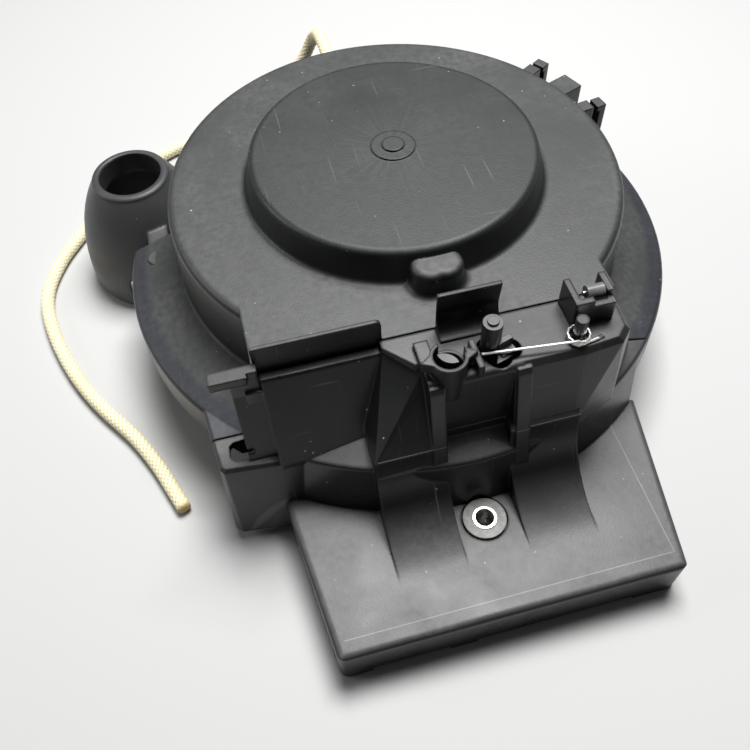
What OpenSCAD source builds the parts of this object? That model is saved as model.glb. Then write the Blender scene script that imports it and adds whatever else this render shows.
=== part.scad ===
// Recoil starter with a rope reel, a spring chamber, a front bracket and a start lockout lever.
// The drum axis is Z, the open side rests on Z = 0 and the front bracket points along -Y.

/* [Case] */
// Outer radius of the drum at its top
case_r = 80; // [78:0.5:88]
// Height of the drum's top above the resting plane
case_h = 73; // [70:0.5:80]
// Wall thickness of both mouldings
wall = 2.5; // [2:0.1:3]
// Radius of the rounded top edge
case_edge_r = 3; // [1:0.5:4]
// How much wider the drum wall is at its foot than at its top
case_draft = 0.8; // [0.2:0.1:1.5]
// Radius of the raised spring chamber at its top
chamber_r = 50; // [46:0.5:52]
// Height of the spring chamber above the drum's top
chamber_h = 11.5; // [9:0.5:14]
// Radius of the flange's outer edge
flange_r = 101; // [98:0.5:108]
// Height of the flange's outer edge
flange_z = 40.4; // [36:0.2:42]
// Height where the sloping flange meets the drum wall
flange_root_z = 47; // [44:0.5:50]
// Depth of the lip under the flange's edge
lip_h = 13; // [8:0.5:18]
// Half the spacing of the two hidden rear mounting lugs
lug_x = 36; // [32:1:44]
// Distance of the rear mounting lugs behind the drum axis
lug_y = 104; // [100:1:110]

/* [Front bracket] */
// Distance of the seam between case and bracket from the drum axis
seam_y = 70.7; // [69:0.1:72]
// Gap at the seam
seam_gap = 0.6; // [0.3:0.1:1]
// Height of the shelf's top
shelf_z = 18.5; // [16:0.5:22]
// Half width of the shelf at its front edge
shelf_w = 57; // [52:0.5:62]
// Distance of the shelf's front edge from the drum axis
shelf_y = 143.5; // [138:0.5:150]
// Drop of the foot box's flat top below the flange's edge
box_drop = 0.4; // [0:0.1:3]
// Distance of the tower's front face from the drum axis
tower_y = 91; // [89:0.5:94]
// Radius of the drafted skirt wall where it meets the shelf
skirt_r = 104.4; // [102.5:0.1:106]
// Radius of the concave ramps that stiffen the shelf
ramp_r = 28.6; // [24:0.2:29]

/* [Mount bush] */
// Distance of the front mounting bush from the drum axis
bush_y = 111; // [109:0.5:114]
// Bore of the steel collar, for an M6 bolt
bush_bore_r = 3.1; // [2.6:0.1:4.1]
// Wall of the steel collar
collar_wall = 0.9; // [0.7:0.1:1.5]
// Radius of the grommet's head
grommet_r = 7.2; // [6.5:0.1:8]
// Height of the grommet's head above its pocket floor
grommet_head = 2.2; // [1.5:0.1:3]

/* [Rope] */
// Diameter of the braided rope
rope_d = 5.5; // [4:0.1:6]
// Bore radius of the rope's exit eyelet
eyelet_r = 3.2; // [3:0.05:3.6]

/* [Reel and drive] */
// Outer radius of the rope reel
reel_r = 65; // [60:0.5:66]
// Radius of the reel's rope groove
groove_r = 46; // [42:0.5:50]
// Width of the rope groove
groove_w = 6.6; // [6.2:0.1:7]
// Thickness of the reel's flanges
reel_flange = 1.7; // [1.4:0.1:2]
// Radius of the fixed centre post
post_r = 8; // [7:0.25:8.5]
// Radial running clearance of each shaft in its bore
run_gap = 0.05; // [0.02:0.01:0.09]
// Radius of the pawl pivots from the drum axis
pawl_pcr = 27; // [25:0.5:29]
// Radius of the pawl pins
pawl_pin_r = 2.5; // [2:0.1:2.8]
// Radius of the friction plate
plate_r = 21; // [19:0.5:22]

/* [Lockout lever] */
// Pivot of the lockout lever, right of the drum axis
lever_x = 26; // [24:0.5:27]
// Pivot of the lockout lever, in front of the drum axis
lever_y = 76.5; // [76:0.25:78]
// Radius of the lever's pivot pin
lever_pin_r = 2; // [1.6:0.1:2.4]
// Radius of the stepped post on the lever
lever_post_r = 3; // [2.6:0.1:3.2]
// Swing of the lever against its spring
lever_swing = 12; // [8:1:12]
// Wire diameter of the lever's torsion spring
wire_d = 0.9; // [0.7:0.1:1.1]

/* [Rope guide] */
// Height of the guide bell's open rim
bell_h = 50; // [44:0.5:54]
// Outer radius of the bell's rim
bell_rim_r = 15.4; // [14:0.2:17]
// Radius of the bell's bore
bell_bore_r = 12.4; // [11:0.2:13]
// Radius of the bell at its base
bell_base_r = 28.3; // [26:0.2:29]

/* [Hidden] */
$fn = 96;
eps = 0.01;
plastic = [0.07, 0.075, 0.08];
steel = [0.75, 0.75, 0.77];
rope_colour = [0.9, 0.86, 0.7];

// Heights inside the drum, from the top down
top_under = case_h - wall;
chamber_top = case_h + chamber_h;
chamber_under = chamber_top - wall;
cover_t = 1;
cover_z = top_under - cover_t;
reel_top = cover_z - 0.5;
groove_top = reel_top - reel_flange;
groove_bottom = groove_top - groove_w;
reel_bottom = groove_bottom - reel_flange;
rope_z = (groove_top + groove_bottom) / 2;
hub_bottom = reel_bottom - 7;
pawl_t = 4;
pawl_z = reel_bottom - 1.5 - pawl_t;
plate_t = 2;
plate_z = hub_bottom - 0.3 - plate_t;
post_bottom = hub_bottom - 0.15;
hub_r = 13;
bump_z = case_h + 8.6;
shelf_edge_r = min(2.2, wall);
hub_top = chamber_under - 2;
reel_web = 2.2;
knot_r = 4.4;
knot_x = groove_r - 3 - knot_r - 0.2;
bush_r = post_r + 2;
winding_r = groove_r + 2.6 * rope_d;

// Places on the case
side_left = -62.5;
side_right = 52;
notch_y = 22;
bell_x = -94.7;
bell_y = 55.3;
exit_angle = 93;
exit_pos = [case_r * cos(exit_angle), case_r * sin(exit_angle), rope_z];
fin_h = 8.3;
fin_t = 1.3;
fin_right = -23;

guide_x = -89;
guide_y = 13;
guide_z = 34.5;

// Places on the bracket
front = -seam_y - seam_gap / 2;
case_front = -seam_y + seam_gap / 2;
box_z = flange_z - box_drop;
panel_top = case_h - 2.5;
panel_foot_y = -86;
lug_h = flange_z - 8;
ramp_y = -97.4;
ramp_top = shelf_z + ramp_r;
tower_left = -14.4;
tower_right = 48.4;
spring_x = 33;
spring_y = 86;
stud_r = 1.9;
coil_r = 3.3;
clip_x = -7.2;
clip_y = 86;
clip_r = 5.7;
box_x = 32.5;
box_w = 13;
box_front = 82;
box_back = 71.6;
box_h = 10.5;
roller_r = 2.2;
roller_len = 5.4;
roller_y = 76.6;
roller_z = case_h + 8.4;
screw_x = 45;
screw_z = 54;
lever_len = 20;
lever_dir = 196.5;
lever_z = case_h - 10.5;
lever_t = 4;
post_top = case_h + 12;
arm_z = case_h + 2.6;

// Route of the free rope, from inside the eyelet to its sealed end
rope_path = [[-4.35, 83.05, rope_z], [-4.5, 88.5, 64.3], [-4.6, 98, 64.6], [-4.8, 107, 63.2], [-5.6, 112.5, 59.6],
    [-7.6, 115, 54.4], [-11.7, 115.6, 47], [-17.5, 116, 41.2], [-24, 116.5, 38.8], [-31, 117, 36.8],
    [-39.5, 118.5, 30.6], [-47.8, 121, 21], [-56.5, 125, 10.6], [-65, 128.5, 4.2], [-75, 128.5, 2.8],
    [-89, 122, 2.8], [-103, 111, 2.8], [-116, 97, 2.8], [-128, 79, 2.8], [-136, 67, 2.8], [-141.5, 55, 2.8],
    [-144, 45, 2.8], [-144, 35, 2.8], [-141.5, 21, 2.8], [-137, 6, 2.8], [-131, -8.5, 2.8],
    [-123.5, -22, 2.8], [-113, -38, 2.8], [-106, -52, 2.8], [-101, -65, 2.8], [-98, -73, 2.8]];

function arc(c, r, a0, a1, n) = [for (i = [0:n]) c + r * [cos(a0 + (a1 - a0) * i / n), sin(a0 + (a1 - a0) * i / n)]];
function bezier(a, b, c, n) = [for (i = [0:n]) let (t = i / n) (1 - t) * (1 - t) * a + 2 * t * (1 - t) * b + t * t * c];
function catmull(a, b, c, d, t) = 0.5 * (2 * b + t * (c - a) + t * t * (2 * a - 5 * b + 4 * c - d)
    + t * t * t * (3 * b - a - 3 * c + d));

// A closed tube of n sides along a list of points
function unit(v) = v / norm(v);
function step_dir(p, i) = unit(p[min(i + 1, len(p) - 1)] - p[max(i - 1, 0)]);
module tube(p, r, n) {
    rings = [for (i = [0:len(p) - 1])
        let (d = step_dir(p, i), s = unit(cross([0, 0.02, 1], d)), u = cross(d, s))
        for (k = [0:n - 1]) p[i] + r * (cos(360 * k / n) * s + sin(360 * k / n) * u)];
    last = len(p) - 1;
    sides = [for (i = [0:last - 1], k = [0:n - 1]) let (m = (k + 1) % n)
        [i * n + k, (i + 1) * n + k, (i + 1) * n + m, i * n + m]];
    caps = [[for (k = [0:n - 1]) k], [for (k = [n - 1:-1:0]) last * n + k]];
    polyhedron(rings, concat(sides, caps), convexity = 6);
}

// Half profile of the drum's outside, from the centre of the chamber's top out to the flange's lip
function case_outside() = concat(
    [[0, chamber_top]],
    arc([chamber_r - 2.5, chamber_top - 2.5], 2.5, 90, 10, 6),
    arc([chamber_r + 4.2, case_h + 2.5], 2.5, 190, 270, 6),
    arc([case_r - case_edge_r, case_h - case_edge_r], case_edge_r, 90, 0, 8),
    arc([case_r + case_draft + 1.5, flange_root_z + 1.5], 1.5, 180, 250, 4),
    arc([flange_r - 2.5, flange_z - 2.5], 2.5, 70, 0, 6),
    [[flange_r + 0.3, flange_z - lip_h]]);

function case_inside() = [
    [flange_r + 0.3 - wall, flange_z - lip_h], [flange_r - wall, flange_z - wall - 0.5],
    [case_r + case_draft + 0.5, flange_root_z - wall], [case_r + case_draft - wall, flange_root_z - wall],
    [case_r - wall, top_under], [chamber_r - wall + 1.8, top_under], [chamber_r - wall, chamber_under],
    [0, chamber_under]];

module case_body() {
    rotate_extrude() polygon(concat(case_outside(), case_inside()));
    // straight sides that carry the drum forward to the seam
    difference() {
        translate([side_left, case_front, flange_root_z - wall])
            cube([side_right - side_left, 40, case_h - flange_root_z + wall]);
        translate([side_left + wall, case_front + wall, flange_root_z - wall - 1])
            cube([side_right - side_left - 2 * wall, 40, case_h - flange_root_z + 1]);
        translate([0, 0, flange_root_z - wall - 1]) cylinder(r = case_r - wall, h = case_h - flange_root_z + 1);
    }
    // corner of the foot box behind the seam
    difference() {
        box_block(0);
        box_block(wall);
        translate([0, 0, -1]) cylinder(r = flange_r - wall, h = case_h);
    }
}

// A hook that stands off the drum wall at a given angle
module wall_hook(angle, w) {
    rotate([0, 0, angle]) translate([case_r - 2, -w / 2, case_h - 14]) {
        cube([9.5, w, 3]);
        cube([4.5, w, 14]);
        translate([7.5, 0, 0]) cube([2.6, w, 13.5]);
        translate([6.4, 0, 11.5]) cube([2, w, 2]);
    }
}

module starter_case() {
    color(plastic) difference() {
        union() {
            case_body();
            translate([0, 0, post_bottom]) cylinder(r = post_r, h = chamber_top - post_bottom - 1);
            // boss ring and nub in the middle of the chamber
            translate([0, 0, chamber_top - eps]) cylinder(r = 7.6, h = 0.5);
            translate([0, 0, chamber_top - eps]) cylinder(r = 3.8, h = 1.1);
            // fin along the seam
            translate([side_left + 0.5, case_front, case_h - 4]) difference() {
                cube([fin_right - side_left - 0.5, fin_t, fin_h + 4]);
                translate([fin_right - side_left - 2.5, -1, fin_h + 2]) difference() {
                    cube([5, fin_t + 2, 5]);
                    rotate([-90, 0, 0]) cylinder(r = 2, h = fin_t + 2);
                }
            }
            // two-lobed bump at the front of the chamber where the spring's outer end is hooked
            for (x = [-2.6, 1.8]) translate([x, -52.4, 0]) rotate_extrude() polygon(concat([[0, case_h - 1],
                [9.6, case_h - 1]], arc([9.6, case_h + 3.2], 3.2, -90, -175, 8), arc([3.8, bump_z - 2.6], 2.6, 0, 90, 8),
                [[0, bump_z]]));
            wall_hook(32, 5);
            rotate([0, 0, 21.5]) translate([case_r - 2, -4.5, case_h - 16]) cube([9, 9, 15.5]);
            wall_hook(11, 5);
            // boss that takes the rope guide's screw
            translate([guide_x, guide_y, guide_z + 3]) cylinder(r = 4, h = 6);
            // rear mounting lugs
            for (s = [-1, 1]) translate([s * lug_x, lug_y, 0]) cylinder(r = 7, h = lug_h);
            for (s = [-1, 1]) translate([s * lug_x - 4, lug_y - 14, flange_z - lip_h]) cube([8, 14, lug_h - flange_z + lip_h]);
        }
        // opening of the front bracket
        translate([-150, -200 + case_front, -1]) cube([300, 200, flange_root_z - wall + 1]);
        translate([-150, -200 + case_front, -1]) cube([300, 200, 150]);
        // flange is cut away for the rope guide
        translate([-150, notch_y, -1]) cube([150 + bell_x + 17, 66, flange_root_z + 3]);
        translate([bell_x, bell_y, -1]) cylinder(r = bell_base_r + 1, h = flange_root_z + 4);
        // inside of the drum, kept clear of lugs and hooks
        translate([0, 0, -1]) cylinder(r = case_r - wall, h = flange_root_z - 2);
        // rope exit
        translate(exit_pos) rotate([-90, 0, exit_angle - 90]) translate([0, 0, -12]) cylinder(r = 5, h = 24);
        // room for the recoil spring
        translate([0, 0, top_under - 1]) difference() {
            cylinder(r = chamber_r - wall, h = chamber_under - top_under + 1);
            translate([0, 0, -1]) cylinder(r = post_r, h = 30);
        }
        // heads of the bracket's screws
        for (s = [-1, 1]) translate([s * screw_x, case_front + wall, screw_z]) rotate([-90, 0, 0]) cylinder(r = 4, h = 9);
        // screw holes to the bracket, rear lug bores and the centre screw's hole
        for (s = [-1, 1]) translate([s * screw_x, case_front - 1, screw_z]) rotate([-90, 0, 0]) cylinder(r = 2.1, h = 8);
        for (s = [-1, 1]) translate([s * lug_x, lug_y, -1]) cylinder(r = bush_bore_r + collar_wall, h = 60);
        translate([0, 0, post_bottom - 1]) cylinder(r = 2.5, h = 22);
        for (a = [30, 150, 270]) rotate([0, 0, a]) translate([57, 0, cover_z]) cylinder(r = 1.2, h = cover_t + 2);
        translate([guide_x, guide_y, guide_z]) cylinder(r = 1.65, h = 8);
    }
}

// Foot box with drafted walls, at a distance inside the outer face
module box_block(inset) {
    hull() {
        translate([0, 0, 4 - inset]) linear_extrude(0.1) polygon([[-84.2 + inset, -58], [-81.4 + inset, -85 + inset],
            [-79.2 + inset, -87.4 + inset], [-62, -89.6 + inset], [-54, -90 + inset], [-54, -58]]);
        translate([0, 0, box_z - inset - 1.2]) linear_extrude(0.1) polygon([[-82.3 + inset, -58],
            [-80 + inset, -81.5 + inset], [-78.8 + inset, -83.2 + inset], [-62, -84.8 + inset], [-54, -85.6 + inset],
            [-54, -58]]);
        translate([0, 0, box_z - inset - 0.1]) linear_extrude(0.1) polygon([[-81.4 + inset, -58],
            [-79 + inset, -81 + inset], [-78 + inset, -82.2 + inset], [-62, -83.8 + inset], [-54, -84.6 + inset],
            [-54, -58]]);
    }
}

// Side outline of flange and skirt, from the drum wall outwards
function skirt_outside() = concat([[case_r - 4, flange_root_z], [case_r + case_draft, flange_root_z]],
    arc([flange_r - 2, flange_z - 2], 2, 71, 8, 5), [[skirt_r, shelf_z], [skirt_r + 1, 4]]);
function skirt_inside() = [[skirt_r + 1 - wall, 4], [skirt_r - wall, shelf_z], [flange_r - wall, flange_z - wall - 0.5],
    [case_r - 4, flange_root_z - wall]];

// Flange and skirt wall in front of the seam
module front_flange() {
    intersection() {
        rotate_extrude() polygon(concat(skirt_outside(), skirt_inside()));
        translate([-57, -120, 0]) cube([57 + 65, 120 - seam_y - seam_gap / 2, 60]);
    }
    intersection() {
        rotate_extrude() polygon(concat([[case_r - 4, flange_root_z], [case_r + case_draft, flange_root_z]],
            arc([flange_r - 2, flange_z - 2], 2, 71, 0, 5), [[flange_r + 0.3, flange_z - lip_h],
            [flange_r + 0.3 - wall, flange_z - lip_h], [flange_r - wall, flange_z - wall - 0.5],
            [case_r - 4, flange_root_z - wall]]));
        union() {
            translate([60, -120, 0]) cube([30, 120 - seam_y - seam_gap / 2, 60]);
            translate([-85, -84, box_z - wall - 1]) cube([30, 84 - seam_y - seam_gap / 2, 30]);
        }
    }
}

// Outline of the shelf seen from above
module shelf_outline(inset) {
    r = inset > 0 ? 0.01 : 3;
    polygon(concat([[-63.5 + inset, front - 10]], arc([-shelf_w + 0.9 * r + inset, -shelf_y + r + inset], r, 185.9, 270, 5),
        arc([shelf_w - 0.85 * r - inset, -shelf_y + r + inset], r, 270, 350.5, 5), [[67.5 - inset, front - 10]]));
}

// Cutter that rounds a straight top edge; the outside lies to the left of the way from a to b
module edge_round(a, b, z, r) {
    length = norm(b - a);
    translate([a[0], a[1], z]) rotate([0, 0, atan2(b[1] - a[1], b[0] - a[0])]) difference() {
        translate([-4, -r, -r]) cube([length + 8, r + 3, r + 3]);
        translate([-5, -r, -r]) rotate([0, 90, 0]) cylinder(r = r, h = length + 10);
    }
}

module shelf_block() {
    difference() {
        linear_extrude(shelf_z) shelf_outline(0);
        edge_round([-shelf_w, -shelf_y], [-63.5, front - 10], shelf_z, shelf_edge_r);
        edge_round([shelf_w, -shelf_y], [-shelf_w, -shelf_y], shelf_z, shelf_edge_r);
        edge_round([67.5, front - 10], [shelf_w, -shelf_y], shelf_z, shelf_edge_r);
    }
}

module x_slab(x0, x1, points) {
    translate([x0, 0, 0]) rotate([90, 0, 90]) linear_extrude(x1 - x0) polygon(points);
}

module slab(z, points) {
    translate([0, 0, z - 0.1]) linear_extrude(0.1) polygon(points);
}

// Middle of the tower with the ledge of the flange below it
module tower_middle() {
    x_slab(tower_left, 15, concat([[front, shelf_z - 1], [front, case_h]], arc([-tower_y + 2.2, case_h - 2.2], 2.2, 90, 180, 5),
        [[-tower_y - 0.8, flange_z + 3]], arc([-97.8, flange_z - 1.4], 1.5, 105, 175, 4), [[-101.4, shelf_z - 1]]));
}

// Right part of the tower, which leans out towards its foot, at a distance inside the outer face
module tower_right(inset) {
    y = -tower_y + inset;
    hull() {
        slab(case_h - inset, [[12 + inset, front], [12 + inset, y + 1.6], [34, y + 1.4], [45 - inset, y + 2.4],
            [48.5 - inset, y + 6], [49.4 - inset, front]]);
        slab(case_h - inset - 1.6, [[12 + inset, front], [12 + inset, y], [34, y - 0.2], [46.4 - inset, y + 1],
            [50.2 - inset, y + 5], [51 - inset, front]]);
        slab(flange_z, [[12 + inset, front], [12 + inset, y - 7.2], [31.5, y - 7.2], [49 - inset, y + 0.5],
            [64 - inset, front]]);
    }
}

// Left part of the tower above the first ramp, at a distance inside the outer face
module tower_left_part(inset) {
    hull() {
        slab(panel_top - inset, [[-24 + inset, front], [-24 + inset, -74.2 + inset], [-14.4, -83.6 + inset],
            [-10 - inset, -84 + inset], [-10 - inset, front]]);
        slab(ramp_top, [[-32.8 + inset, front], [-32.8 + inset, ramp_y + inset], [-10 - inset, ramp_y + inset],
            [-10 - inset, front]]);
    }
}

// Ramp with a concave face that runs out on the shelf, at a distance inside the outer face
module ramp(x0, x1, inset, step) {
    low = shelf_z - 2 - inset;
    difference() {
        x_slab(x0 + inset, x1 - inset, [[front, low], [front, ramp_top + step - inset], [ramp_y + 1 + inset,
            ramp_top + step - inset], [ramp_y + inset, ramp_top], [ramp_y - ramp_r, ramp_top], [ramp_y - ramp_r, low]]);
        translate([x0 - 1, ramp_y - ramp_r, ramp_top]) rotate([0, 90, 0]) cylinder(r = ramp_r + inset, h = x1 - x0 + 2);
    }
}

// Rib that stands proud of the tower's front
module rib(x0, x1, foot_y, foot_z) {
    x_slab(x0, x1, [[-tower_y + 3, shelf_z - 1], [-tower_y + 3, case_h - 0.6], [-tower_y - 0.6, case_h - 1],
        [-tower_y - 1.6, case_h - 3], [foot_y, foot_z], [foot_y, shelf_z - 1]]);
}

module bracket_outside() {
    intersection() {
        box_block(0);
        translate([-100, -100, 0]) cube([100, 100 + front, 60]);
    }
    shelf_block();
    front_flange();
    tower_middle();
    tower_right(0);
    tower_left_part(0);
    ramp(-32.8, -10, 0, 0.2);
    ramp(11, 34.2, 0, 2);
    x_slab(-60.8, -22, [[front, box_z - 2], [front, panel_top], [-73.4, panel_top], [-74, panel_top - 0.8],
        [panel_foot_y + 1.6, box_z + 4], [panel_foot_y, box_z], [panel_foot_y, box_z - 2]]);
    rib(-14.4, -9.8, -101, 30);
    rib(12.4, 17, -101.6, 33);
    // block on the top's left corner, level with the tower's top
    translate([0, 0, case_h - 8]) linear_extrude(8) polygon([[-24, front], [-14.4, front], [-14.4, -82.6],
        [-16, -82.2], [-24, -73.6]]);
}

module pillar() {
    x_slab(-70, -60.6, [[front, box_z - 2], [front, 70], [-72.6, 70], [-81.6, box_z], [-81.6, box_z - 2]]);
    translate([-70, front - 3, 60]) cube([8.8, 3, 16]);
    translate([-75.6, front - 4.5, 72.6]) cube([11.2, 4.5, 3.4]);
    translate([-66, front - 4, 62]) cube([6, 4, 5]);
}

module cup_wall() {
    translate([clip_x, -clip_y, case_h - 9]) cylinder(r = clip_r, h = 15);
    // pointed ears beside the cup
    for (s = [-1, 1]) translate([clip_x, -clip_y, case_h + 2]) linear_extrude(4) polygon([[s * (clip_r - 1.4), 2.6],
        [s * (clip_r + 3), -0.4], [s * (clip_r - 1.4), -2.8]]);
}

module cup_bore() {
    translate([clip_x, -clip_y, case_h - 6.5]) cylinder(r = clip_r - 1.1, h = 20);
    // open side towards the seam
    translate([clip_x - 1.8, -clip_y, case_h + 1.5]) cube([7, 10, 10]);
}

module box_clip() {
    translate([box_x, -box_front, case_h - 1]) difference() {
        cube([box_w, box_front - box_back, box_h + 1]);
        translate([2, 2, 2]) cube([box_w - 4, box_front - box_back + 1, box_h]);
        translate([box_w / 2 - 0.6, -1, 9.1]) cube([box_w, 4, box_h]);
        translate([box_w / 2 + 2, -1, 11.4]) cube([box_w, 20, box_h]);
    }
}

module front_bracket() {
    color(plastic) difference() {
        union() {
            difference() {
                bracket_outside();
                bracket_hollows();
            }
            front_flange();
            pillar();
            cup_wall();
            box_clip();
            // boss that holds the mounting bush
            translate([0, -bush_y, 6]) cylinder(r = grommet_r + 3, h = shelf_z - 6);
            // seam plates with bosses for the screws from the case
            for (s = [-1, 1]) translate([s * screw_x, front, screw_z]) rotate([90, 0, 0]) cylinder(r = 4.2, h = 6.8);
            translate([-59, front - 2, screw_z - 6]) cube([20, 2, 12]);
            translate([39, front - 2, screw_z - 6]) cube([16, 2, 12]);
            // boss for the lever's pivot pin
            translate([lever_x, -lever_y, lever_z + lever_t + 0.4]) cylinder(r = 4, h = case_h - lever_z - lever_t - 1);
            // stud that carries the torsion spring
            translate([spring_x, -spring_y, case_h - wall]) cylinder(r = stud_r, h = 9 + wall);
            // tab, small block and shield on the top
            translate([0.4, -91, case_h - 1]) cube([1.8, 10.5, 5]);
            translate([-15, -83.5, case_h - 1]) cube([4.4, 7.6, 3.2]);
            x_slab(-6.6, 12.8, concat([[front - 0.1, case_h - 1]], [[front - 0.1, case_h + 16]],
                [[front - 1.4, case_h + 16]], arc([-78, case_h + 7.3], 6.6, 0, -80, 8), [[-77, case_h - 1]]));
        }
        cup_bore();
        // kidney-shaped slot for the lever's post
        for (i = [0:6]) lever_frame(i * lever_swing / 6) translate([lever_len, 0, case_h - 8])
            cylinder(r = lever_post_r + 1, h = 12);
        lever_frame(lever_swing) translate([lever_len - 4, 0, case_h - 8]) cylinder(r = lever_post_r + 1, h = 12);
        // bores
        translate([0, -bush_y, shelf_z - grommet_head]) cylinder(r = grommet_r + 0.6, h = 10);
        translate([0, -bush_y, -1]) cylinder(r = bush_bore_r + collar_wall + 1.6, h = 30);
        for (s = [-1, 1]) translate([s * screw_x, front - 5.6, screw_z]) rotate([-90, 0, 0]) cylinder(r = 1.7, h = 20);
        translate([lever_x, -lever_y, lever_z]) cylinder(r = lever_pin_r, h = case_h - lever_z - 1.2);
        translate([40, -87.4, case_h - 4]) cylinder(r = 0.7, h = 8);
        translate([box_x + box_w - 8.6, -roller_y, roller_z]) rotate([0, 90, 0]) cylinder(r = 0.8, h = 9.5);
        // room for the lever's end inside the front wall
        translate([2, -tower_y + 1.5, lever_z - 1]) cube([13, 4, lever_t + 2]);
        // square hole in the foot box
        translate([-76, -80.4, box_z - wall - 1]) linear_extrude(wall + 6) polygon([[0, 2.2], [0.6, 0.7], [2, 0],
            [8.4, 0], [6.6, 7.6], [1.6, 7.2], [0.2, 6]]);
        // small slot in the shelf's left side
        translate([-66, -115, 5]) cube([12, 4, 5]);
        // notches in the shelf's lower edge that leave two feet
        translate([-47, -shelf_y - 5, -1]) cube([26, 10, 3.6]);
        translate([-12, -shelf_y - 5, -1]) cube([54, 10, 3.2]);
        translate([-75, -128, -1]) cube([20, 28, 3.2]);
        translate([55, -128, -1]) cube([20, 28, 3.2]);
    }
}

module bracket_hollows() {
    intersection() {
        box_block(wall);
        translate([-100, -100, -5]) cube([100, 100 - seam_y, 60]);
    }
    translate([0, 0, -1]) linear_extrude(shelf_z - wall + 1) difference() {
        shelf_outline(wall);
        // the skirt wall goes down to the plane of the feet
        difference() {
            circle(r = skirt_r + 0.5);
            circle(r = skirt_r - wall);
        }
    }
    translate([0, 0, -1]) intersection() {
        cylinder(r = skirt_r - wall, h = shelf_z + 4);
        linear_extrude(60) polygon([[-60, front + 1], [-60, -86], [-50, -105], [60, -105], [64, front + 1]]);
    }
    tower_right(wall);
    tower_left_part(wall);
    translate([0, 0, 0.2]) ramp(-32.8, -10, wall, 0.2);
    translate([0, 0, 0.2]) ramp(11, 34.2, wall, 2);
    x_slab(tower_left + wall, 15, [[front + 1, 0], [front + 1, case_h - wall], [-tower_y + wall, case_h - wall],
        [-tower_y - 0.8 + wall, flange_z + 1], [-97, flange_z - 1.5], [-98.6, shelf_z - 3], [-98.6, 0]]);
    x_slab(-58.3, -20, [[front + 1, 20], [front + 1, panel_top - wall], [-71.3, panel_top - wall],
        [panel_foot_y + wall + 1.6, box_z + 3.5], [panel_foot_y + wall + 0.2, box_z - wall], [panel_foot_y + 6, 20]]);
    // room under the seam edge
    translate([-57, front - 0.4, -1]) cube([118, 2, flange_root_z - wall]);
}

module bracket_screws() {
    color(steel) for (s = [-1, 1]) translate([s * screw_x, case_front + wall, screw_z]) rotate([90, 0, 0]) {
        cylinder(r = 1.7, h = wall + seam_gap + 5);
        translate([0, 0, -1.8]) cylinder(r = 3.4, h = 1.8);
    }
}

module mount_grommet() {
    color([0.45, 0.46, 0.47]) translate([0, -bush_y, 0]) difference() {
        union() {
            translate([0, 0, shelf_z - grommet_head]) cylinder(r = grommet_r, h = grommet_head + 0.6);
            translate([0, 0, 6]) cylinder(r = bush_bore_r + collar_wall + 1.6, h = shelf_z - 6);
        }
        translate([0, 0, 5]) cylinder(r = bush_bore_r + collar_wall, h = 20);
    }
}

module mount_collar() {
    color(steel) translate([0, -bush_y, 5.4]) difference() {
        cylinder(r = bush_bore_r + collar_wall, h = shelf_z + 1 - 5.4);
        translate([0, 0, -1]) cylinder(r = bush_bore_r, h = 30);
    }
}

module rear_collars() {
    color(steel) for (s = [-1, 1]) translate([s * lug_x, lug_y, 0]) difference() {
        cylinder(r = bush_bore_r + collar_wall, h = lug_h + 0.4);
        translate([0, 0, -1]) cylinder(r = bush_bore_r, h = 60);
    }
}

module rope_guide() {
    color([0.1, 0.105, 0.115]) difference() {
        union() {
            translate([bell_x, bell_y, 0]) rotate_extrude() polygon(concat([[bell_bore_r, bell_h]],
                arc([bell_rim_r - 1.2, bell_h - 1.2], 1.2, 90, 0, 4),
                bezier([bell_rim_r, bell_h - 1.4], [bell_base_r - 1, bell_h - 18], [bell_base_r, 6], 36),
                arc([bell_base_r - 3, 3], 3, 0, -90, 5), [[bell_base_r - 4.6, 0]],
                bezier([bell_base_r - 4, 4], [bell_base_r - 4, bell_h - 22], [bell_bore_r, bell_h - 9], 8)));
            // arm that reaches under the flange
            intersection() {
                union() {
                    translate([guide_x - 4, guide_y, guide_z]) cube([8, bell_y - guide_y, 3]);
                    translate([guide_x, guide_y, guide_z]) cylinder(r = 4, h = 3);
                }
                difference() {
                    translate([bell_x - 40, -20, 0]) cube([80, 100, 80]);
                    translate([bell_x, bell_y, 0]) cylinder(r = 21, h = 80);
                }
            }
        }
        translate([guide_x, guide_y, guide_z - 1]) cylinder(r = 1.7, h = 5);
        // arched opening in the foot
        translate([-99, bell_y, 12]) rotate([90, 0, 0]) cylinder(r = 7.5, h = 40);
        translate([-106.5, bell_y - 40, 4.5]) cube([15, 40, 7.5]);
    }
}

module guide_screw() {
    color(steel) translate([guide_x, guide_y, guide_z - 1.6]) {
        cylinder(r = 3, h = 1.6);
        cylinder(r = 1.65, h = 8.5);
    }
}

module rope_eyelet() {
    color(steel) translate(exit_pos) rotate([-90, 0, exit_angle - 90]) difference() {
        union() {
            translate([0, 0, -wall - 0.4]) cylinder(r = 4.95, h = wall + 1.4);
            translate([0, 0, 0.8]) cylinder(r = 6.2, h = 1.4);
        }
        translate([0, 0, -10]) cylinder(r = eyelet_r, h = 20);
    }
}

// Springy leaf that stands in the cup and holds a cable end
module cable_clip() {
    color(plastic) translate([clip_x, -clip_y, case_h - 6.5]) {
        cylinder(r = clip_r - 1.1, h = 2);
        translate([-0.5, -0.7, 0]) rotate([0, 0, -38]) linear_extrude(12.6) intersection() {
            translate([0, 3.1]) circle(r = 4.6);
            translate([0, -3.1]) circle(r = 4.6);
        }
    }
}

module guide_roller() {
    color([0.3, 0.31, 0.32]) translate([box_x + box_w - 1.9 - roller_len - 0.3, -roller_y, roller_z]) rotate([0, 90, 0])
        difference() {
            cylinder(r = roller_r, h = roller_len);
            translate([0, 0, -1]) cylinder(r = 0.8 + run_gap, h = roller_len + 2);
        }
}

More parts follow.
